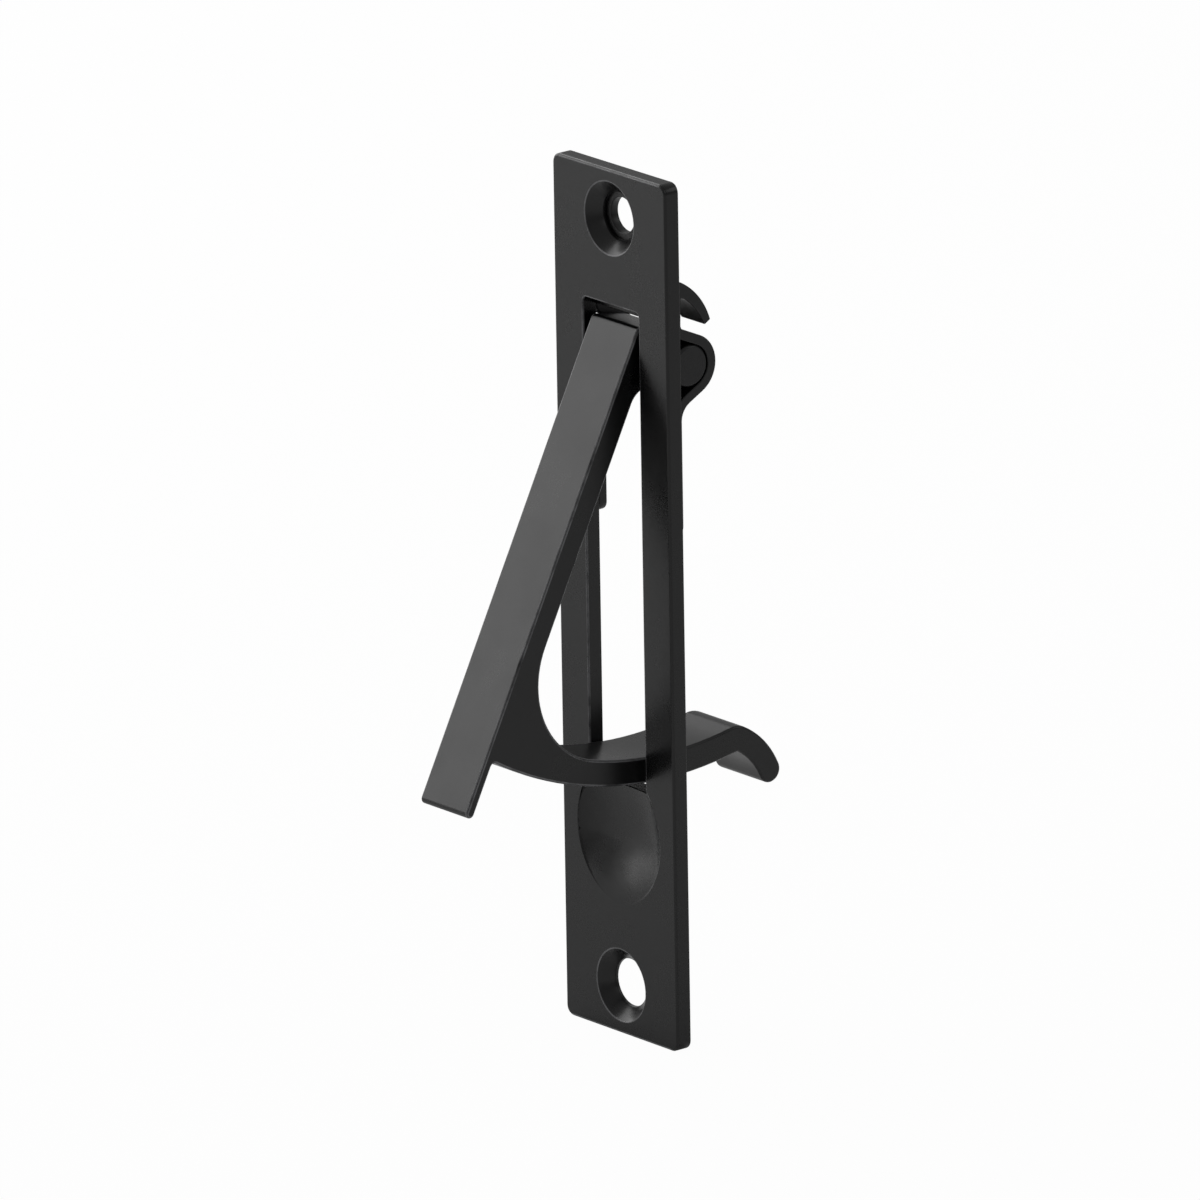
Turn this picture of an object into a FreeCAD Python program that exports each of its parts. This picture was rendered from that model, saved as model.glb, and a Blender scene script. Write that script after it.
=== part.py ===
import FreeCAD, Part
import math
import os
from FreeCAD import Vector

# Pocket door pull: a face plate for the door's edge, and a lever that swings out of its slot.
# The origin is at the centre of the plate's back face. X runs across the plate, +Y goes into the
# door, +Z is up. Sizes are in millimetres and angles in degrees. A heading in the YZ plane is
# counted from +Y towards +Z.

# Face plate
plate_height = 98.4
plate_width = 19.05
plate_thickness = 1.9
plate_corner_radius = 1.1
plate_edge_chamfer = 0.2
slot_width = 9.4
slot_top_z = 33.9
slot_bottom_z = -20.95
slot_corner_radius = 0.6
slot_rim_chamfer = 0.12

# Screw holes
screw_end_distance = 5.55
plate_hole_diameter = 5.4
countersink_diameter = 8.3
countersink_angle = 90.0

# Thumb scoop, an ellipsoid pressed into the sheet, leaning so that it is deepest towards the slot
scoop_centre_z = -26.2
scoop_half_width = 7.0
scoop_half_height = 8.4
scoop_depth = 1.3
scoop_lean = 3.0

# Pivot
pivot_z = 27.9
pin_diameter = 4.76
pin_clearance = 0.05
pin_end_chamfer = 0.25

# Hinge strap, one formed sheet
strap_thickness = 1.1
strap_width = 16.6
strap_hole_diameter = 4.0
strap_tab_width = 8.0
strap_slit_width = 0.3
strap_window_top_z = 32.7
leg_end_z = 9.0
leg_corner_radius = 1.0
loop_lower_heading = 28.0
loop_lower_bend = 2.2
loop_upper_heading = 156.0
loop_upper_bend = 0.65
claw_root_z = 35.7
claw_root_bend = 0.2
claw_top_z = 37.6
claw_shoulder_radius = 1.2
claw_reach = 5.3
claw_tip_z = 32.65
claw_outer_radius = 8.5
claw_inner_radius = 9.0
claw_tip_thickness = 0.92
claw_tip_heading = -60.0

# Pull lever, one casting, drawn shut with the pivot at the origin and then swung open.
# When shut, the back of its tail lies a little below the plate's front, in the scoop.
lever_width = 7.94
lever_edge_chamfer = 0.18
bar_thickness = 2.9
tail_thickness = 1.15
tail_length = 54.2
tail_sink = 0.3
nose_radius = 2.0
nose_centre_z = 0.5
barrel_radius = 3.3
neck_radius = 2.7
bow_radius = 10.0
arm_inner_radius = 44.75
arm_thickness = 3.0
crotch_radius = 0.5
hook_angle = 37.9
crest_radius = 3.0
hook_start_heading = -1.5
hook_outer_radius = 10.9
hook_thickness = 2.8
hook_sweep = 37.5
hook_notch_radius = 0.5
open_angle = 26.8

# Derived
pin_radius = pin_diameter / 2
loop_inner_radius = pin_radius + pin_clearance
pivot = Vector(0, loop_inner_radius, pivot_z)
front_reach = pivot.y + plate_thickness - tail_sink + tail_thickness
arm_outer_radius = arm_inner_radius + arm_thickness
screw_z = plate_height / 2 - screw_end_distance
strap_depth = pivot.y + loop_inner_radius + strap_thickness

across_x = Vector(1, 0, 0)
into_door = Vector(0, 1, 0)
origin = Vector(0, 0, 0)


def yz(y, z):
    return Vector(0, y, z)


def polar(length, heading):
    angle = math.radians(heading)
    return yz(length * math.cos(angle), length * math.sin(angle))


def heading_of(vector):
    return math.degrees(math.atan2(vector.z, vector.y))


def other_side(hypotenuse, side):
    return math.sqrt(hypotenuse ** 2 - side ** 2)


def line(start, end):
    return Part.LineSegment(start, end).toShape()


def arc(centre, radius, start, end):
    """An arc in the YZ plane from one heading to another, the way that the numbers run."""
    points = [centre + polar(radius, heading) for heading in (start, (start + end) / 2, end)]
    return Part.Arc(*points).toShape()


def bulged(start, end, radius):
    """An arc of this radius that bulges to the left of the way from start to end."""
    half = (end - start) / 2
    middle = start + half
    outwards = polar(1, heading_of(half) + 90)
    rise = radius - other_side(radius, half.Length)
    return Part.Arc(start, middle + outwards * rise, end).toShape()


def where_circles_meet(first_centre, first_radius, second_centre, second_radius):
    """The meeting point that lies to the left of the way from the first centre to the second."""
    between = second_centre - first_centre
    ahead = (between.Length ** 2 + first_radius ** 2 - second_radius ** 2) / (2 * between.Length)
    heading = heading_of(between)
    aside = other_side(first_radius, ahead)
    return first_centre + polar(ahead, heading) + polar(aside, heading + 90)


def across(edges, width):
    """A closed outline in the YZ plane, made solid evenly to both sides of the middle."""
    face = Part.Face(Part.Wire(Part.__sortEdges__(edges)))
    face.translate(Vector(-width / 2, 0, 0))
    return face.extrude(Vector(width, 0, 0))


def is_along(edge, direction):
    if not isinstance(edge.Curve, Part.Line):
        return False
    return abs(abs(edge.Curve.Direction.dot(direction)) - 1) < 1e-6


def edges_at(shape, axis, level):
    """The edges that lie wholly at this level along X, Y or Z."""
    found = []
    for edge in shape.Edges:
        box = edge.BoundBox
        low = getattr(box, axis + "Min")
        high = getattr(box, axis + "Max")
        if abs(low - level) < 1e-4 and abs(high - level) < 1e-4:
            found.append(edge)
    return found


def lies_within(edge, shape):
    """Whether the edge is inside the shape's bounding box or on its sides."""
    box = FreeCAD.BoundBox(shape.BoundBox)
    box.enlarge(1e-3)
    return box.isInside(edge.BoundBox)


def rounded_block(width, y, thickness, bottom_z, top_z, radius):
    block = Part.makeBox(width, thickness, top_z - bottom_z, Vector(-width / 2, y, bottom_z))
    corners = [edge for edge in block.Edges if is_along(edge, into_door)]
    return block.makeFillet(radius, corners)


def screw_hole(z):
    """A countersunk hole through the plate, its cone open to the front."""
    front = Vector(0, -plate_thickness, z)
    hole_radius = plate_hole_diameter / 2
    cone_radius = countersink_diameter / 2
    cone_depth = (cone_radius - hole_radius) / math.tan(math.radians(countersink_angle / 2))
    bore = Part.makeCylinder(hole_radius, plate_thickness, front, into_door)
    cone = Part.makeCone(cone_radius, hole_radius, cone_depth, front, into_door)
    return bore.fuse(cone)


def thumb_scoop(y):
    """The ellipsoid under the slot, its middle at this depth in the plate."""
    ball = Part.makeSphere(1)
    stretch = FreeCAD.Matrix()
    stretch.scale(Vector(scoop_half_width, scoop_depth, scoop_half_height))
    scoop = ball.transformGeometry(stretch)
    scoop.rotate(origin, across_x, -scoop_lean)
    scoop.translate(Vector(0, y, scoop_centre_z))
    return scoop


def make_face_plate():
    """The sheet, with the scoop pressed into it: its hollow in front and its swell behind."""
    half = plate_height / 2
    plate = rounded_block(plate_width, -plate_thickness, plate_thickness, -half, half, plate_corner_radius)
    plate = plate.makeChamfer(plate_edge_chamfer, edges_at(plate, "Y", -plate_thickness))
    slot = rounded_block(slot_width, -2 * plate_thickness, 5 * plate_thickness,
                         slot_bottom_z, slot_top_z, slot_corner_radius)
    plate = plate.cut(slot)
    rim = [edge for edge in edges_at(plate, "Y", -plate_thickness) if lies_within(edge, slot)]
    plate = plate.makeChamfer(slot_rim_chamfer, rim)
    plate = plate.cut(screw_hole(screw_z)).cut(screw_hole(-screw_z))
    swell = thumb_scoop(0).cut(slot)
    return plate.fuse(swell).cut(thumb_scoop(-plate_thickness)).removeSplitter()


def loop_outline():
    """One leg's sheet seen from the side: up the plate's back, round the pin, and up to the claw's root.
    The inner face is the one that touches the plate and the pin."""
    lower_radius = loop_lower_bend + strap_thickness
    upper_radius = loop_upper_bend + strap_thickness
    wrap_start = pivot + polar(loop_inner_radius, loop_lower_heading - 90)
    wrap_end = pivot + polar(loop_inner_radius, loop_upper_heading - 90)

    lower_turn = polar(lower_radius, loop_lower_heading + 90)
    lower_run = (wrap_start.y - lower_radius - lower_turn.y) / polar(1, loop_lower_heading).y
    bend_end = wrap_start - polar(lower_run, loop_lower_heading)
    lower_centre = bend_end - lower_turn

    upper_turn = polar(upper_radius, loop_upper_heading + 90)
    upper_run = (upper_radius + upper_turn.y - wrap_end.y) / polar(1, loop_upper_heading).y
    bend_start = wrap_end + polar(upper_run, loop_upper_heading)
    upper_centre = bend_start - upper_turn

    edges = []
    for offset in (0, strap_thickness):
        lower_step = polar(offset, loop_lower_heading - 90)
        upper_step = polar(offset, loop_upper_heading - 90)
        edges += [
            line(yz(offset, leg_end_z), yz(offset, lower_centre.z)),
            arc(lower_centre, lower_radius - offset, 180, loop_lower_heading + 90),
            line(bend_end + lower_step, wrap_start + lower_step),
            arc(pivot, loop_inner_radius + offset, loop_lower_heading - 90, loop_upper_heading - 90),
            line(wrap_end + upper_step, bend_start + upper_step),
            arc(upper_centre, upper_radius - offset, loop_upper_heading + 90, 180),
            line(yz(offset, upper_centre.z), yz(offset, claw_root_z)),
        ]
    edges.append(line(yz(0, leg_end_z), yz(strap_thickness, leg_end_z)))
    edges.append(line(yz(0, claw_root_z), yz(strap_thickness, claw_root_z)))
    return edges


def claw_outline():
    """The claw seen from the side: thick at its root, curling back down to a thinner tip."""
    shoulder_z = claw_top_z - claw_shoulder_radius
    top = yz(claw_shoulder_radius, claw_top_z)
    tip = yz(claw_reach, claw_tip_z)
    tip_inner = tip + polar(claw_tip_thickness, claw_tip_heading - 90)
    root_centre = yz(strap_thickness + claw_root_bend, claw_root_z)
    root_end = root_centre + polar(claw_root_bend, 90)
    return [
        line(yz(strap_thickness, claw_root_z), yz(0, claw_root_z)),
        line(yz(0, claw_root_z), yz(0, shoulder_z)),
        arc(yz(claw_shoulder_radius, shoulder_z), claw_shoulder_radius, 180, 90),
        bulged(top, tip, claw_outer_radius),
        line(tip, tip_inner),
        bulged(root_end, tip_inner, claw_inner_radius),
        arc(root_centre, claw_root_bend, 90, 180),
    ]


def make_hinge_strap():
    legs = across(loop_outline(), strap_width)
    window = Part.makeBox(slot_width, 2 * strap_depth, strap_window_top_z - leg_end_z,
                          Vector(-slot_width / 2, -strap_depth, leg_end_z))
    legs = legs.cut(window)
    claws = across(claw_outline(), strap_width)
    space_width = strap_tab_width + 2 * strap_slit_width
    space = Part.makeBox(space_width, 2 * claw_reach, 2 * claw_top_z, Vector(-space_width / 2, -claw_reach, 0))
    claws = claws.cut(space)
    tab_centre = Vector(0, 0, screw_z)
    tab = Part.makeBox(strap_tab_width, strap_thickness, screw_z - claw_root_z,
                       Vector(-strap_tab_width / 2, 0, claw_root_z))
    tab_end = Part.makeCylinder(strap_tab_width / 2, strap_thickness, tab_centre, into_door)
    hole = Part.makeCylinder(strap_hole_diameter / 2, strap_thickness, tab_centre, into_door)
    strap = legs.fuse([claws, tab, tab_end]).cut(hole).removeSplitter()
    feet = [edge for edge in edges_at(strap, "Z", leg_end_z) if is_along(edge, into_door)]
    return strap.makeFillet(leg_corner_radius, feet)


def make_pivot_pin():
    pin = Part.makeCylinder(pin_radius, strap_width, pivot - across_x * (strap_width / 2), across_x)
    rims = edges_at(pin, "X", -strap_width / 2) + edges_at(pin, "X", strap_width / 2)
    return pin.makeChamfer(pin_end_chamfer, rims)


def hook_outline(arm_end):
    """The hook at the arm's end, from the arm's upper face round its tip to the arm's lower face.
    Gives the edges and the heading, about the pivot, at which the lower face takes over."""
    tip_radius = hook_thickness / 2
    inner_radius = hook_outer_radius - hook_thickness
    start = hook_start_heading + 90
    tip_heading = start - hook_sweep
    crest_centre = polar(arm_inner_radius + crest_radius, arm_end)
    hook_centre = crest_centre + polar(crest_radius, start) + polar(hook_outer_radius, start + 180)
    tip_centre = hook_centre + polar(inner_radius + tip_radius, tip_heading)
    notch_centre = where_circles_meet(origin, arm_outer_radius + hook_notch_radius,
                                      hook_centre, inner_radius - hook_notch_radius)
    notch_end = heading_of(notch_centre - hook_centre)
    notch_heading = heading_of(notch_centre)
    edges = [
        arc(crest_centre, crest_radius, arm_end + 180, start),
        arc(hook_centre, hook_outer_radius, start, tip_heading),
        arc(tip_centre, tip_radius, tip_heading, tip_heading - 180),
        arc(hook_centre, inner_radius, tip_heading, notch_end),
        arc(notch_centre, hook_notch_radius, notch_end, notch_heading + 180),
    ]
    return edges, notch_heading


def lever_outline():
    """The whole casting seen from the side, each curve running smoothly into the next."""
    front = -front_reach
    bar_back = front + bar_thickness
    tail_back = front + tail_thickness
    arm_end = hook_angle - 90

    nose_centre = yz(front + nose_radius, nose_centre_z)
    rise = math.asin((barrel_radius - nose_radius) / nose_centre.Length)
    nose_end = heading_of(origin - nose_centre) + math.degrees(rise) + 90

    neck_y = bar_back + neck_radius
    neck_centre = yz(neck_y, -other_side(barrel_radius + neck_radius, neck_y))
    neck_start = heading_of(neck_centre)

    bow_y = bar_back + bow_radius
    bow_centre = yz(bow_y, -other_side(arm_inner_radius - bow_radius, bow_y))
    bow_end = heading_of(bow_centre)

    crotch_y = tail_back + crotch_radius
    crotch_centre = yz(crotch_y, -other_side(arm_outer_radius + crotch_radius, crotch_y))
    crotch_end = heading_of(crotch_centre)

    tail_end_radius = tail_thickness / 2
    tail_end_centre = yz(front + tail_end_radius, tail_end_radius - tail_length)

    hook_edges, lower_face_start = hook_outline(arm_end)
    return [
        line(yz(front, tail_end_centre.z), yz(front, nose_centre.z)),
        arc(nose_centre, nose_radius, 180, nose_end),
        line(nose_centre + polar(nose_radius, nose_end), polar(barrel_radius, nose_end)),
        arc(origin, barrel_radius, nose_end, neck_start),
        arc(neck_centre, neck_radius, neck_start + 180, 180),
        line(yz(bar_back, neck_centre.z), yz(bar_back, bow_centre.z)),
        arc(bow_centre, bow_radius, 180, bow_end + 360),
        arc(origin, arm_inner_radius, bow_end, arm_end),
    ] + hook_edges + [
        arc(origin, arm_outer_radius, lower_face_start, crotch_end),
        arc(crotch_centre, crotch_radius, crotch_end + 180, 180),
        line(yz(tail_back, crotch_centre.z), yz(tail_back, tail_end_centre.z)),
        arc(tail_end_centre, tail_end_radius, 360, 180),
    ]


def make_pull_lever():
    lever = across(lever_outline(), lever_width)
    rims = edges_at(lever, "X", -lever_width / 2) + edges_at(lever, "X", lever_width / 2)
    lever = lever.makeChamfer(lever_edge_chamfer, rims)
    bore = Part.makeCylinder(pin_radius, lever_width, Vector(-lever_width / 2, 0, 0), across_x)
    lever = lever.cut(bore)
    lever.rotate(origin, across_x, -open_angle)
    lever.translate(pivot)
    return lever


os.makedirs("parts", exist_ok=True)
pieces = {
    "face_plate": make_face_plate(),
    "hinge_strap": make_hinge_strap(),
    "pivot_pin": make_pivot_pin(),
    "pull_lever": make_pull_lever(),
}
for name, shape in pieces.items():
    shape.exportStep("parts/" + name + ".step")
    print(name, shape.isValid(), len(shape.Solids), round(shape.Volume, 2), shape.BoundBox)
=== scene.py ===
import bpy
import bmesh
import math
from mathutils import Matrix, Vector


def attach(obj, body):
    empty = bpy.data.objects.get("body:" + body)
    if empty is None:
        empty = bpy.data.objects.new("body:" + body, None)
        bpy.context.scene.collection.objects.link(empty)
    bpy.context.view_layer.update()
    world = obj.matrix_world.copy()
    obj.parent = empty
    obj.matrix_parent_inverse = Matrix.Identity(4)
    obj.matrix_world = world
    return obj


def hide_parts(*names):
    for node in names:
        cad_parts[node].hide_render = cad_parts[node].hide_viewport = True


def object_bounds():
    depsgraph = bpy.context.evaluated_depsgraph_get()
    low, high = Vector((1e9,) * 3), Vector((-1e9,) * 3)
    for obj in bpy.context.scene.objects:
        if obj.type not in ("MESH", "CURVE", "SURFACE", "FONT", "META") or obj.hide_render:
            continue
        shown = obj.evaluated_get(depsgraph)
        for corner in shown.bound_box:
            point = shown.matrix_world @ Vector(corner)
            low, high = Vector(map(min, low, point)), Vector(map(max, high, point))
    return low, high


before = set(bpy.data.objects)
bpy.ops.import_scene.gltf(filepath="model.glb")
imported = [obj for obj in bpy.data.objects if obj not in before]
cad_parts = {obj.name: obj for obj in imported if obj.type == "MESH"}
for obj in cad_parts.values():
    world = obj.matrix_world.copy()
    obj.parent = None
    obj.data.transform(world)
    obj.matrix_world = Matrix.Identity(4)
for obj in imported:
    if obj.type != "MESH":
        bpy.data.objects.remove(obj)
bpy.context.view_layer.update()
mm = 0.001


def hexColor(text):
    # sRGB hex to the linear values that the shader wants
    out = []
    for i in (1, 3, 5):
        c = int(text[i:i + 2], 16) / 255
        out.append(c / 12.92 if c <= 0.04045 else ((c + 0.055) / 1.055) ** 2.4)
    return (*out, 1)


def patternScale(sizeMm):
    # how often a pattern of this real size fits in a metre
    return 1 / (sizeMm * mm)


def addNode(tree, kind, settings=None, links=None):
    # one node: settings name its properties or its input sockets, links name input sockets
    node = tree.nodes.new(kind)
    for key, value in (settings or {}).items():
        if isinstance(key, str) and hasattr(node, key):
            setattr(node, key, value)
        else:
            node.inputs[key].default_value = value
    for key, source in (links or {}).items():
        tree.links.new(source, node.inputs[key])
    return node


def newMaterial(name):
    mat = bpy.data.materials.new(name)
    mat.use_nodes = True
    mat.node_tree.nodes.clear()
    return mat, mat.node_tree


# Camera, at the photo's place: it looks from the right of the plate and a little from above
camera = {
    "azimuthDegrees": 50.51,
    "elevationDegrees": 17.09,
    "rollDegrees": 0.93,
    "distanceMm": 2414,
    "pixelsPerMm": 9.19,               # at the target
    "imagePixels": 1200,
    "sensorMm": 36,
    "clipMm": (100, 20000),
    "targetMm": (0, -1.9, 0),          # the middle of the plate's front face
    "targetPixel": (615.0, 603.9),     # where the photo shows it, from the top left corner
}


def makeCamera():
    turns = (camera[key] for key in ("azimuthDegrees", "elevationDegrees", "rollDegrees"))
    a, e, r = (math.radians(turn) for turn in turns)
    right = Vector((math.cos(a), math.sin(a), 0))
    up = Vector((-math.sin(a) * math.sin(e), math.cos(a) * math.sin(e), math.cos(e)))
    back = right.cross(up)
    rolledRight = right * math.cos(r) - up * math.sin(r)
    rolledUp = right * math.sin(r) + up * math.cos(r)
    half = camera["imagePixels"] / 2
    u, v = camera["targetPixel"]
    place = Vector(camera["targetMm"]) * mm
    place -= rolledRight * ((u - half) / camera["pixelsPerMm"] * mm)
    place += rolledUp * ((v - half) / camera["pixelsPerMm"] * mm)
    place += back * (camera["distanceMm"] * mm)
    data = bpy.data.cameras.new("camera")
    data.sensor_width = camera["sensorMm"]
    data.lens = camera["sensorMm"] * camera["pixelsPerMm"] * camera["distanceMm"] / camera["imagePixels"]
    data.clip_start, data.clip_end = (clip * mm for clip in camera["clipMm"])
    obj = bpy.data.objects.new("camera", data)
    axes = Matrix((rolledRight, rolledUp, back)).transposed().to_4x4()
    obj.matrix_world = Matrix.Translation(place) @ axes
    bpy.context.collection.objects.link(obj)
    bpy.context.scene.camera = obj


# Studio: a white floor and a pale room, one long soft box at the left, and two weak ones that fill in
# from the right, one before the plate and one behind it
studio = {
    "floorColor": "#f2f2f2",
    "floorSizeMm": 8000,
    "floorGlow": 0.97,                 # how much of the floor that the camera sees is plain white
    "whiteInReflections": 0.05,        # how much of that white the object reflects
    "roomBright": 0.3,
    "roomDim": 0.12,
    "roomBrightSide": (-0.6, 0, 0.8),
    "roomBlend": 0.8,                  # more is a slower change from the bright side to the dim one
    "softBoxes": {
        "longBox": {
            "fromMm": (-518, -91, 268), "widthMm": 880, "heightMm": 460, "watts": 2.65, "rollDegrees": -17,
        },
        "fillBox": {
            "fromMm": (560, -300, 420), "widthMm": 460, "heightMm": 360, "watts": 0.32, "rollDegrees": 0,
        },
        "backBox": {
            "fromMm": (420, 560, 420), "widthMm": 460, "heightMm": 300, "watts": 0.3, "rollDegrees": 0,
        },
    },
}


def whiteShare(tree, most):
    # 0 to most: all of it for the camera, a part of it in reflections and through glass
    path = addNode(tree, "ShaderNodeLightPath")
    mirrored = addNode(tree, "ShaderNodeMath", {"operation": "MAXIMUM"},
                       {0: path.outputs["Is Glossy Ray"], 1: path.outputs["Is Transmission Ray"]})
    part = addNode(tree, "ShaderNodeMath", {"operation": "MULTIPLY", 1: studio["whiteInReflections"]},
                   {0: mirrored.outputs[0]})
    both = addNode(tree, "ShaderNodeMath", {"operation": "MAXIMUM"},
                   {0: path.outputs["Is Camera Ray"], 1: part.outputs[0]})
    share = addNode(tree, "ShaderNodeMath", {"operation": "MULTIPLY", 1: most}, {0: both.outputs[0]})
    return share.outputs[0]


def makeFloor():
    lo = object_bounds()[0]
    half = studio["floorSizeMm"] * mm / 2
    corners = [(-half, -half, lo.z), (half, -half, lo.z), (half, half, lo.z), (-half, half, lo.z)]
    mesh = bpy.data.meshes.new("floor")
    mesh.from_pydata(corners, [], [(0, 1, 2, 3)])
    floor = bpy.data.objects.new("floor", mesh)
    bpy.context.collection.objects.link(floor)
    mat, tree = newMaterial("whitePaperSweep")
    paper = addNode(tree, "ShaderNodeBsdfDiffuse", {"Color": hexColor(studio["floorColor"])})
    glow = addNode(tree, "ShaderNodeEmission", {"Color": (1, 1, 1, 1), "Strength": 1.0})
    mix = addNode(tree, "ShaderNodeMixShader", {},
                  {0: whiteShare(tree, studio["floorGlow"]), 1: paper.outputs[0], 2: glow.outputs[0]})
    addNode(tree, "ShaderNodeOutputMaterial", {}, {"Surface": mix.outputs[0]})
    mesh.materials.append(mat)


def makeSoftBoxes():
    for name, box in studio["softBoxes"].items():
        data = bpy.data.lights.new(name, "AREA")
        data.shape = "RECTANGLE"
        data.size = box["widthMm"] * mm
        data.size_y = box["heightMm"] * mm
        data.energy = box["watts"]
        lamp = bpy.data.objects.new(name, data)
        place = Vector(box["fromMm"]) * mm
        lamp.location = place
        aim = (-place).to_track_quat("-Z", "Y").to_matrix()
        roll = Matrix.Rotation(math.radians(box["rollDegrees"]), 3, "Z")
        lamp.rotation_euler = (aim @ roll).to_euler()
        bpy.context.collection.objects.link(lamp)


def makeRoom():
    world = bpy.data.worlds.new("room")
    world.use_nodes = True
    tree = world.node_tree
    tree.nodes.clear()
    way = addNode(tree, "ShaderNodeTexCoord")
    side = addNode(tree, "ShaderNodeVectorMath", {"operation": "DOT_PRODUCT", 1: studio["roomBrightSide"]},
                   {0: way.outputs["Generated"]})
    level = addNode(tree, "ShaderNodeMapRange", {
        "interpolation_type": "SMOOTHSTEP",
        "From Min": -studio["roomBlend"], "From Max": studio["roomBlend"],
        "To Min": studio["roomDim"], "To Max": studio["roomBright"],
    }, {"Value": side.outputs["Value"]})
    room = addNode(tree, "ShaderNodeBackground", {"Color": (1, 1, 1, 1)},
                   {"Strength": level.outputs["Result"]})
    white = addNode(tree, "ShaderNodeBackground", {"Color": (1, 1, 1, 1), "Strength": 1.0})
    mix = addNode(tree, "ShaderNodeMixShader", {},
                  {0: whiteShare(tree, 1.0), 1: room.outputs[0], 2: white.outputs[0]})
    addNode(tree, "ShaderNodeOutputWorld", {}, {"Surface": mix.outputs[0]})
    bpy.context.scene.world = world


# A finished piece is a welded copy of its CAD node with a small round on each sharp edge.
# The rounds that a piece's mask picks get the second material, a lighter grey that is a painted highlight.
finish = {
    "weldMm": 0.001,
    "shortestEdgeMm": 0.03,
    "flatDegrees": 0.5,                # faces that meet at less than this become one
    "roundSteps": 2,
    "roundProfile": 0.6,               # 0.5 is an arc, more is fuller
    "flatFaceWeight": 80,              # how far the large flat faces rule the shading at their rims
}


def finishPiece(node, body, coat, paintedHighlight, values, isHighlightPainted, reshape=None):
    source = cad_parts[node]
    bm = bmesh.new()
    bm.from_mesh(source.data)
    bmesh.ops.remove_doubles(bm, verts=bm.verts, dist=finish["weldMm"] * mm)
    bmesh.ops.dissolve_degenerate(bm, edges=bm.edges, dist=finish["shortestEdgeMm"] * mm)
    bmesh.ops.dissolve_limit(bm, angle_limit=math.radians(finish["flatDegrees"]),
                             verts=bm.verts, edges=bm.edges)
    sharp = [edge for edge in bm.edges if len(edge.link_faces) == 2
             and edge.calc_face_angle(0) > math.radians(values["sharpFromDegrees"])]
    rounds = bmesh.ops.bevel(bm, geom=sharp, affect="EDGES", offset_type="OFFSET",
                             offset=values["roundMm"] * mm, segments=finish["roundSteps"],
                             profile=finish["roundProfile"], clamp_overlap=False,
                             miter_outer="ARC", material=-1)
    for face in bm.faces:
        face.smooth = True
        face.material_index = 0
    # painted highlight: the lighter grey goes on the rounds that the mask picks
    for face in rounds["faces"]:
        if isHighlightPainted(face.calc_center_median() / mm):
            face.material_index = 1
    # only now, because a reshape before the rounds leaves a dark line on the plate
    if reshape:
        reshape(bm)
    mesh = bpy.data.meshes.new(node + "_finished")
    bm.to_mesh(mesh)
    bm.free()
    mesh.materials.append(coat)
    mesh.materials.append(paintedHighlight)
    piece = bpy.data.objects.new(node + "_finished", mesh)
    bpy.context.collection.objects.link(piece)
    normals = piece.modifiers.new("flatFaces", "WEIGHTED_NORMAL")
    normals.keep_sharp = True
    normals.weight = finish["flatFaceWeight"]
    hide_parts(node)
    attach(piece, body)
    print(node, "is finished with", len(mesh.polygons), "faces")


# Painted arris highlight: the same black coat with a lighter grey on the rounded arrises, painted to stand in
# for the thin bright lines of light along the edges.
# The eye gets a fine, broken, lighter line along the edge.
paintedArrisHighlight = {
    "highlightGrey": "#6c6c6e",
    "whole": "#161617",
    "highlightBreakMm": 2.6,
    "highlightFrom": 0.28,                  # patches below this get no painted highlight, above the next value the full painted highlight
    "highlightTo": 0.56,
    "roughness": 0.36,
}


def makePaintedArrisHighlight():
    mat, tree = newMaterial("blackCoatPaintedArrisHighlight")
    place = addNode(tree, "ShaderNodeTexCoord").outputs["Object"]
    highlightBreaks = addNode(tree, "ShaderNodeTexNoise", {
        "Scale": patternScale(paintedArrisHighlight["highlightBreakMm"]), "Detail": 4.0,
    }, {"Vector": place})
    highlightShare = addNode(tree, "ShaderNodeMapRange", {
        "From Min": paintedArrisHighlight["highlightFrom"], "From Max": paintedArrisHighlight["highlightTo"],
    }, {"Value": highlightBreaks.outputs[0]})
    color = addNode(tree, "ShaderNodeMix", {
        "data_type": "RGBA", 6: hexColor(paintedArrisHighlight["whole"]), 7: hexColor(paintedArrisHighlight["highlightGrey"]),
    }, {0: highlightShare.outputs["Result"]})
    surface = addNode(tree, "ShaderNodeBsdfPrincipled", {"Roughness": paintedArrisHighlight["roughness"], "IOR": 1.5},
                      {"Base Color": color.outputs[2]})
    addNode(tree, "ShaderNodeOutputMaterial", {}, {"Surface": surface.outputs[0]})
    return mat


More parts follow.
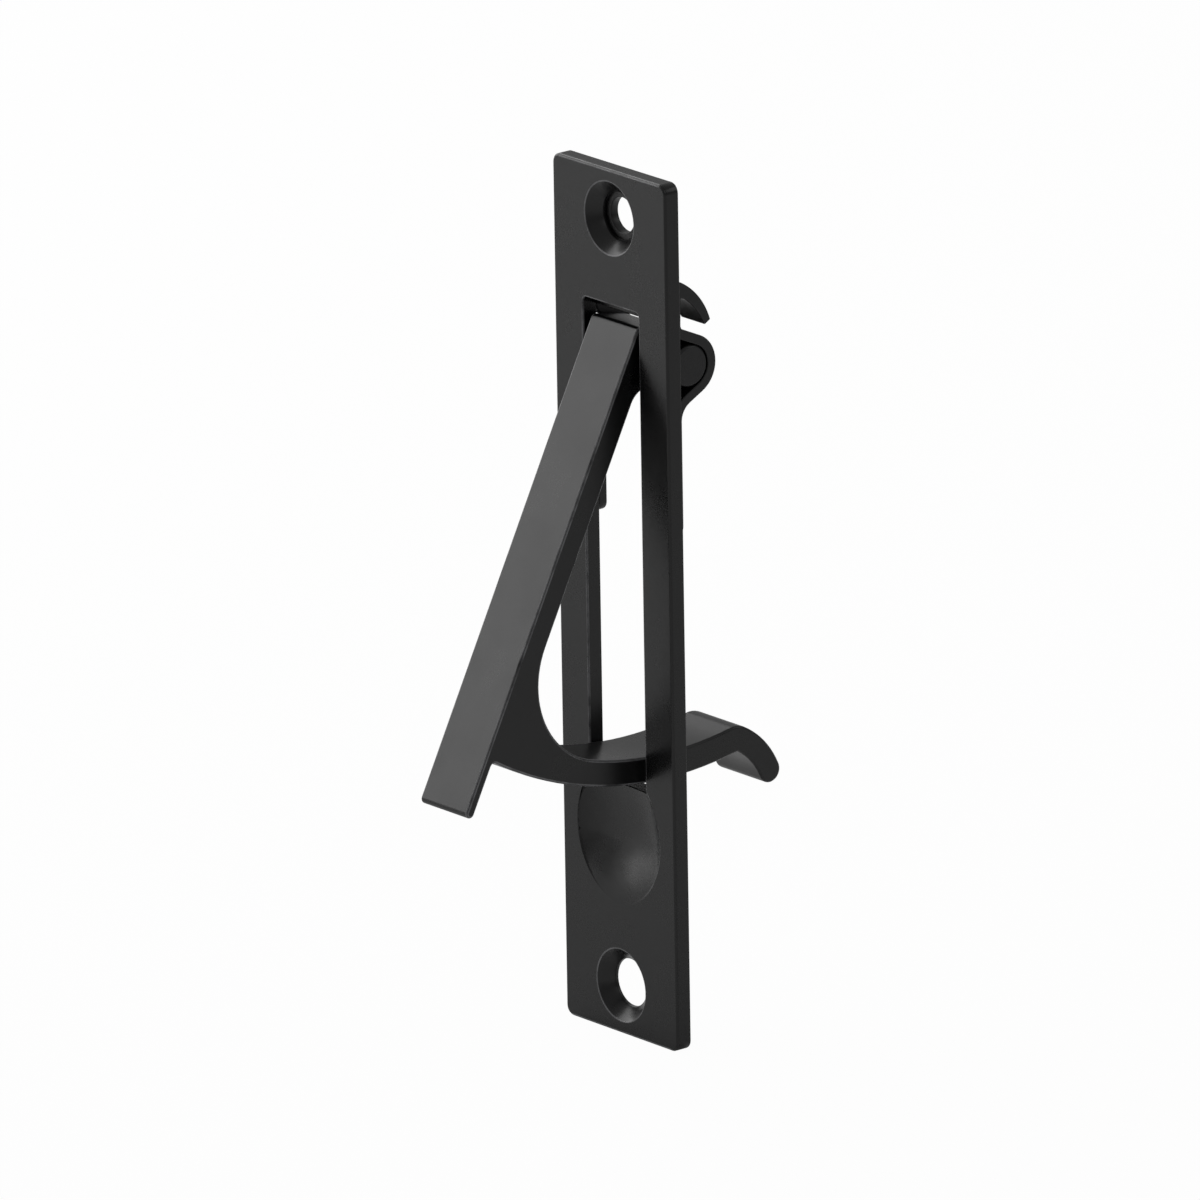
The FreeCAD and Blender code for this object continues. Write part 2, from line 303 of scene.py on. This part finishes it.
# Face plate: stamped steel strip with a black electrocoat, baked satin.
# The eye gets an even near-black with soft cloudy sheen, a faint orange peel and a dry fine grain.
facePlate = {
    "roundMm": 0.09,
    "sharpFromDegrees": 25,
    "highlightInsideMm": 8.0,             # the painted highlight's rounds at the slot, screw holes and thumb scoop lie inside this half width
    "highlightToMm": -1.2,                # in depth: only the rounds at the front face
    "wholeFromToMm": (-36, -21.2),     # in height: round the scoop no highlight is painted, but for the next corner
    "highlightCornerMm": (2.5, -31),      # across and in height: the scoop's rim beyond both of these gets the painted highlight
    "scoopCentreMm": (0, -1.9, -26.2),
    "scoopHalfMm": (7.0, 1.3, 8.4),    # of the hollow in the CAD node
    "scoopLeanDegrees": 3.0,
    "scoopSkinMm": 0.004,              # points nearer to the front face than this stay there
    "scoopBandMm": 0.35,               # points up to this far behind the CAD hollow still belong to it
    "scoopDepthMm": 1.6,
    "scoopFlatness": 1.35,             # 1 is round across, more is flatter in the middle
    "scoopWallPower": 0.7,             # less is steeper at the rim
    "scoopFootGain": 1.25,             # more is a quicker change from the steep wall to the soft foot
    "scoopFootStart": 0.15,            # more starts the soft foot lower
    "scoopFootWall": 0.06,             # how much of the steep wall the soft foot keeps
    "coatThin": "#0c0c0d",
    "coatThick": "#030304",
    "cloudMm": 8.0,
    "peelMm": 0.9,
    "peelHeightMm": 0.0022,
    "grainMm": 0.24,                   # the real grain is about 0.05 mm, drawn coarser so that it shows
    "grainHeightMm": 0.0011,
    "grainInSheen": 0.35,              # the grain's share in the sheen, beside the clouds
    "sheenFrom": 0.4,
    "sheenTo": 0.95,
    "roughnessLow": 0.24,
    "roughnessHigh": 0.33,
}


def makeElectrocoatOnSteel():
    mat, tree = newMaterial("satinBlackElectrocoatOnStampedSteel")
    place = addNode(tree, "ShaderNodeTexCoord").outputs["Object"]
    clouds = addNode(tree, "ShaderNodeTexNoise", {
        "Scale": patternScale(facePlate["cloudMm"]), "Detail": 5.0, "Roughness": 0.6,
    }, {"Vector": place})
    peel = addNode(tree, "ShaderNodeTexNoise", {
        "Scale": patternScale(facePlate["peelMm"]), "Detail": 1.0,
    }, {"Vector": place})
    grain = addNode(tree, "ShaderNodeTexNoise", {
        "Scale": patternScale(facePlate["grainMm"]), "Detail": 2.0,
    }, {"Vector": place})
    color = addNode(tree, "ShaderNodeMix", {
        "data_type": "RGBA", 6: hexColor(facePlate["coatThick"]), 7: hexColor(facePlate["coatThin"]),
    }, {0: clouds.outputs[0]})
    sheen = addNode(tree, "ShaderNodeMath", {"operation": "MULTIPLY_ADD", 1: facePlate["grainInSheen"]},
                    {0: grain.outputs[0], 2: clouds.outputs[0]})
    roughness = addNode(tree, "ShaderNodeMapRange", {
        "From Min": facePlate["sheenFrom"], "From Max": facePlate["sheenTo"],
        "To Min": facePlate["roughnessLow"], "To Max": facePlate["roughnessHigh"],
    }, {"Value": sheen.outputs[0]})
    peelBump = addNode(tree, "ShaderNodeBump", {
        "Strength": 1.0, "Distance": facePlate["peelHeightMm"] * mm,
    }, {"Height": peel.outputs[0]})
    grainBump = addNode(tree, "ShaderNodeBump", {
        "Strength": 1.0, "Distance": facePlate["grainHeightMm"] * mm,
    }, {"Height": grain.outputs[0], "Normal": peelBump.outputs[0]})
    surface = addNode(tree, "ShaderNodeBsdfPrincipled", {"IOR": 1.5}, {
        "Base Color": color.outputs[2],
        "Roughness": roughness.outputs["Result"],
        "Normal": grainBump.outputs[0],
    })
    addNode(tree, "ShaderNodeOutputMaterial", {}, {"Surface": surface.outputs[0]})
    return mat


def pressScoop(bm):
    # the pressed hollow: steep at its top and sides, and running out softly at its foot
    cx, cy, cz = facePlate["scoopCentreMm"]
    halfX, halfY, halfZ = facePlate["scoopHalfMm"]
    lean = math.radians(facePlate["scoopLeanDegrees"])
    rimZ = 1 / math.hypot(math.cos(lean) / halfZ, math.sin(lean) / halfY)
    wall = facePlate["scoopFootWall"]
    for vert in bm.verts:
        x, y, z = (vert.co.x / mm - cx, vert.co.y / mm - cy, vert.co.z / mm - cz)
        # the rounds leave a few points just in front of the face, so they go back to it
        vert.co.y = max(vert.co.y, cy * mm)
        across = math.hypot(x / halfX, z / rimZ)
        if across >= 1:
            continue
        hollow = halfY * math.sqrt(1 - across * across)
        if not facePlate["scoopSkinMm"] < y < hollow + facePlate["scoopBandMm"]:
            continue
        across = math.hypot(abs(x / halfX) ** facePlate["scoopFlatness"], z / rimZ)
        # -1 at the top of the rim, 1 at its foot, with no division by zero in the middle
        down = -z / rimZ / max(across, 0.01)
        foot = min(1, max(0, down * facePlate["scoopFootGain"] - facePlate["scoopFootStart"]))
        foot = foot * foot * (3 - 2 * foot)
        steep = (1 - across * across) ** facePlate["scoopWallPower"]
        soft = math.cos(math.pi * across / 2) ** 2 * (1 - wall) + wall * steep
        vert.co.y = (cy + facePlate["scoopDepthMm"] * (steep * (1 - foot) + soft * foot)) * mm


def isHighlightPaintedOnPlate(spot):
    # painted highlight on the rounds of the slot's rim, the screw cones and a part of the scoop's rim
    if abs(spot.x) > facePlate["highlightInsideMm"] or spot.y > facePlate["highlightToMm"]:
        return False
    wholeFrom, wholeTo = facePlate["wholeFromToMm"]
    cornerX, cornerZ = facePlate["highlightCornerMm"]
    return not wholeFrom < spot.z < wholeTo or (spot.x > cornerX and spot.z > cornerZ)


def finishFacePlate(paintedHighlight):
    finishPiece("face_plate", "plate", makeElectrocoatOnSteel(), paintedHighlight, facePlate,
                isHighlightPaintedOnPlate, pressScoop)


# Hinge strap: strip steel bent round a mandrel, with the same black coat laid on thinner.
# The eye gets a slightly duller black, with fine draw lines that run the way the strip was pulled.
hingeStrap = {
    "roundMm": 0.12,
    "sharpFromDegrees": 28,
    "coatThin": "#0d0d0e",
    "coatThick": "#040405",
    "cloudMm": 5.0,
    "drawLineMm": 0.3,                 # real lines are about 0.05 mm apart, drawn coarser so that they show
    "drawLineStretch": 14,
    "drawLineHeightMm": 0.0016,
    "linesFrom": 0.3,
    "linesTo": 0.7,
    "roughnessLow": 0.30,
    "roughnessHigh": 0.42,
}


def makeElectrocoatOnStrip():
    mat, tree = newMaterial("satinBlackElectrocoatOnBentStrip")
    place = addNode(tree, "ShaderNodeTexCoord").outputs["Object"]
    clouds = addNode(tree, "ShaderNodeTexNoise", {
        "Scale": patternScale(hingeStrap["cloudMm"]), "Detail": 5.0,
    }, {"Vector": place})
    pulled = 1 / hingeStrap["drawLineStretch"]
    along = addNode(tree, "ShaderNodeMapping", {"vector_type": "POINT", "Scale": (1, pulled, pulled)},
                    {"Vector": place})
    lines = addNode(tree, "ShaderNodeTexNoise", {
        "Scale": patternScale(hingeStrap["drawLineMm"]), "Detail": 2.0,
    }, {"Vector": along.outputs[0]})
    color = addNode(tree, "ShaderNodeMix", {
        "data_type": "RGBA", 6: hexColor(hingeStrap["coatThick"]), 7: hexColor(hingeStrap["coatThin"]),
    }, {0: clouds.outputs[0]})
    roughness = addNode(tree, "ShaderNodeMapRange", {
        "From Min": hingeStrap["linesFrom"], "From Max": hingeStrap["linesTo"],
        "To Min": hingeStrap["roughnessLow"], "To Max": hingeStrap["roughnessHigh"],
    }, {"Value": lines.outputs[0]})
    lineBump = addNode(tree, "ShaderNodeBump", {
        "Strength": 1.0, "Distance": hingeStrap["drawLineHeightMm"] * mm,
    }, {"Height": lines.outputs[0]})
    surface = addNode(tree, "ShaderNodeBsdfPrincipled", {"IOR": 1.5}, {
        "Base Color": color.outputs[2],
        "Roughness": roughness.outputs["Result"],
        "Normal": lineBump.outputs[0],
    })
    addNode(tree, "ShaderNodeOutputMaterial", {}, {"Surface": surface.outputs[0]})
    return mat


def finishHingeStrap(paintedHighlight):
    finishPiece("hinge_strap", "plate", makeElectrocoatOnStrip(), paintedHighlight, hingeStrap,
                lambda spot: False)


# Pivot pin: a turned steel pin, faced on its ends and coated black with the rest.
# The eye gets a duller black, with the tool's fine rings still showing through on the ends.
pivotPin = {
    "roundMm": 0.1,
    "sharpFromDegrees": 30,
    "centreMm": (0, 2.43, 27.9),
    "coatThin": "#0e0e10",
    "coatThick": "#060607",
    "ringMm": 0.32,                    # real rings are about 0.1 mm apart, drawn coarser so that they show
    "ringHeightMm": 0.004,
    "ringWobble": 0.6,
    "mottleMm": 0.7,
    "mottleFrom": 0.3,
    "mottleTo": 0.7,
    "roughnessLow": 0.34,
    "roughnessHigh": 0.44,
}


def makeElectrocoatOnPin():
    mat, tree = newMaterial("blackElectrocoatOnTurnedSteel")
    place = addNode(tree, "ShaderNodeTexCoord").outputs["Object"]
    fromAxis = addNode(tree, "ShaderNodeVectorMath", {
        "operation": "SUBTRACT", 1: tuple(c * mm for c in pivotPin["centreMm"]),
    }, {0: place})
    # at a scale of 1 this node draws a ring every pi / 10 of a metre
    rings = addNode(tree, "ShaderNodeTexWave", {
        "wave_type": "RINGS", "rings_direction": "X", "Distortion": pivotPin["ringWobble"],
        "Scale": patternScale(pivotPin["ringMm"]) * math.pi / 10,
    }, {"Vector": fromAxis.outputs[0]})
    mottle = addNode(tree, "ShaderNodeTexNoise", {
        "Scale": patternScale(pivotPin["mottleMm"]), "Detail": 4.0,
    }, {"Vector": place})
    color = addNode(tree, "ShaderNodeMix", {
        "data_type": "RGBA", 6: hexColor(pivotPin["coatThick"]), 7: hexColor(pivotPin["coatThin"]),
    }, {0: mottle.outputs[0]})
    roughness = addNode(tree, "ShaderNodeMapRange", {
        "From Min": pivotPin["mottleFrom"], "From Max": pivotPin["mottleTo"],
        "To Min": pivotPin["roughnessLow"], "To Max": pivotPin["roughnessHigh"],
    }, {"Value": mottle.outputs[0]})
    ringBump = addNode(tree, "ShaderNodeBump", {
        "Strength": 1.0, "Distance": pivotPin["ringHeightMm"] * mm,
    }, {"Height": rings.outputs[0]})
    surface = addNode(tree, "ShaderNodeBsdfPrincipled", {"IOR": 1.5}, {
        "Base Color": color.outputs[2],
        "Roughness": roughness.outputs["Result"],
        "Normal": ringBump.outputs[0],
    })
    addNode(tree, "ShaderNodeOutputMaterial", {}, {"Surface": surface.outputs[0]})
    return mat


def finishPivotPin(paintedHighlight):
    finishPiece("pivot_pin", "lever", makeElectrocoatOnPin(), paintedHighlight, pivotPin,
                lambda spot: False)


# Pull lever: zinc pressure casting, tumbled and sprayed with satin black enamel.
# The eye gets a slightly softer, smoother black than the plate's, with a broader orange peel
# and a painted highlight on its edges.
pullLever = {
    "roundMm": 0.1,
    "sharpFromDegrees": 36,
    "highlightToMm": 0,                   # in depth: the rounds in front of this get the painted highlight
    "noseCentreMm": (-0.18, 29.78),    # in depth and height, with the lever standing open
    "noseArcMm": 2.0,                  # in the CAD node
    "noseBand": (0.85, 1.02),          # points between these shares of the arc belong to the nose
    "noseCornerMm": 0.6,
    "noseFromDegrees": 78.1,
    "noseToDegrees": 153.2,
    "enamelThin": "#0c0c0d",
    "enamelThick": "#040405",
    "cloudMm": 6.0,
    "peelMm": 1.3,
    "peelHeightMm": 0.0042,
    "grainMm": 0.26,                   # the real grain is about 0.06 mm, drawn coarser so that it shows
    "grainHeightMm": 0.0012,
    "grainInSheen": 0.35,              # the grain's share in the sheen, beside the clouds
    "sheenFrom": 0.4,
    "sheenTo": 0.95,
    "roughnessLow": 0.25,
    "roughnessHigh": 0.35,
}


def makeEnamelOnZinc():
    mat, tree = newMaterial("satinBlackEnamelOnCastZinc")
    place = addNode(tree, "ShaderNodeTexCoord").outputs["Object"]
    clouds = addNode(tree, "ShaderNodeTexNoise", {
        "Scale": patternScale(pullLever["cloudMm"]), "Detail": 4.0,
    }, {"Vector": place})
    peel = addNode(tree, "ShaderNodeTexNoise", {
        "Scale": patternScale(pullLever["peelMm"]), "Detail": 1.5,
    }, {"Vector": place})
    grain = addNode(tree, "ShaderNodeTexNoise", {
        "Scale": patternScale(pullLever["grainMm"]), "Detail": 2.0,
    }, {"Vector": place})
    color = addNode(tree, "ShaderNodeMix", {
        "data_type": "RGBA", 6: hexColor(pullLever["enamelThick"]), 7: hexColor(pullLever["enamelThin"]),
    }, {0: clouds.outputs[0]})
    sheen = addNode(tree, "ShaderNodeMath", {"operation": "MULTIPLY_ADD", 1: pullLever["grainInSheen"]},
                    {0: grain.outputs[0], 2: clouds.outputs[0]})
    roughness = addNode(tree, "ShaderNodeMapRange", {
        "From Min": pullLever["sheenFrom"], "From Max": pullLever["sheenTo"],
        "To Min": pullLever["roughnessLow"], "To Max": pullLever["roughnessHigh"],
    }, {"Value": sheen.outputs[0]})
    peelBump = addNode(tree, "ShaderNodeBump", {
        "Strength": 1.0, "Distance": pullLever["peelHeightMm"] * mm,
    }, {"Height": peel.outputs[0]})
    grainBump = addNode(tree, "ShaderNodeBump", {
        "Strength": 1.0, "Distance": pullLever["grainHeightMm"] * mm,
    }, {"Height": grain.outputs[0], "Normal": peelBump.outputs[0]})
    surface = addNode(tree, "ShaderNodeBsdfPrincipled", {"IOR": 1.5}, {
        "Base Color": color.outputs[2],
        "Roughness": roughness.outputs["Result"],
        "Normal": grainBump.outputs[0],
    })
    addNode(tree, "ShaderNodeOutputMaterial", {}, {"Surface": surface.outputs[0]})
    return mat


def squareNose(bm):
    # the bar's top end: its front face and its end run on to a tighter corner
    cy, cz = pullLever["noseCentreMm"]
    arc, corner = pullLever["noseArcMm"], pullLever["noseCornerMm"]
    bandFrom, bandTo = pullLever["noseBand"]
    middle = math.radians((pullLever["noseFromDegrees"] + pullLever["noseToDegrees"]) / 2)
    half = math.radians((pullLever["noseToDegrees"] - pullLever["noseFromDegrees"]) / 2)
    cornerOut = (arc - corner) / math.cos(half)
    cornerSpan = half - math.atan((arc - corner) * math.tan(half) / arc)
    for vert in bm.verts:
        y, z = vert.co.y / mm - cy, vert.co.z / mm - cz
        off = math.atan2(z, y) - middle
        reach = math.hypot(y, z)
        if abs(off) > half or not arc * bandFrom < reach < arc * bandTo:
            continue
        if abs(off) < cornerSpan:
            edge = cornerOut * math.cos(off) + math.sqrt(corner ** 2 - (cornerOut * math.sin(off)) ** 2)
        else:
            edge = arc / math.cos(half - abs(off))
        vert.co.y = (cy + y * edge / arc) * mm
        vert.co.z = (cz + z * edge / arc) * mm


def finishPullLever(paintedHighlight):
    finishPiece("pull_lever", "lever", makeEnamelOnZinc(), paintedHighlight, pullLever,
                lambda spot: spot.y < pullLever["highlightToMm"], squareNose)


makeCamera()
makeFloor()
makeSoftBoxes()
makeRoom()
print("camera, floor and lights are in place")

# painted highlight: a lighter grey laid on chosen arrises in place of their highlights
paintedHighlightMat = makePaintedArrisHighlight()
finishFacePlate(paintedHighlightMat)
finishHingeStrap(paintedHighlightMat)
finishPivotPin(paintedHighlightMat)
finishPullLever(paintedHighlightMat)
print("finishes are on")

bpy.context.scene.view_settings.view_transform = "Standard"
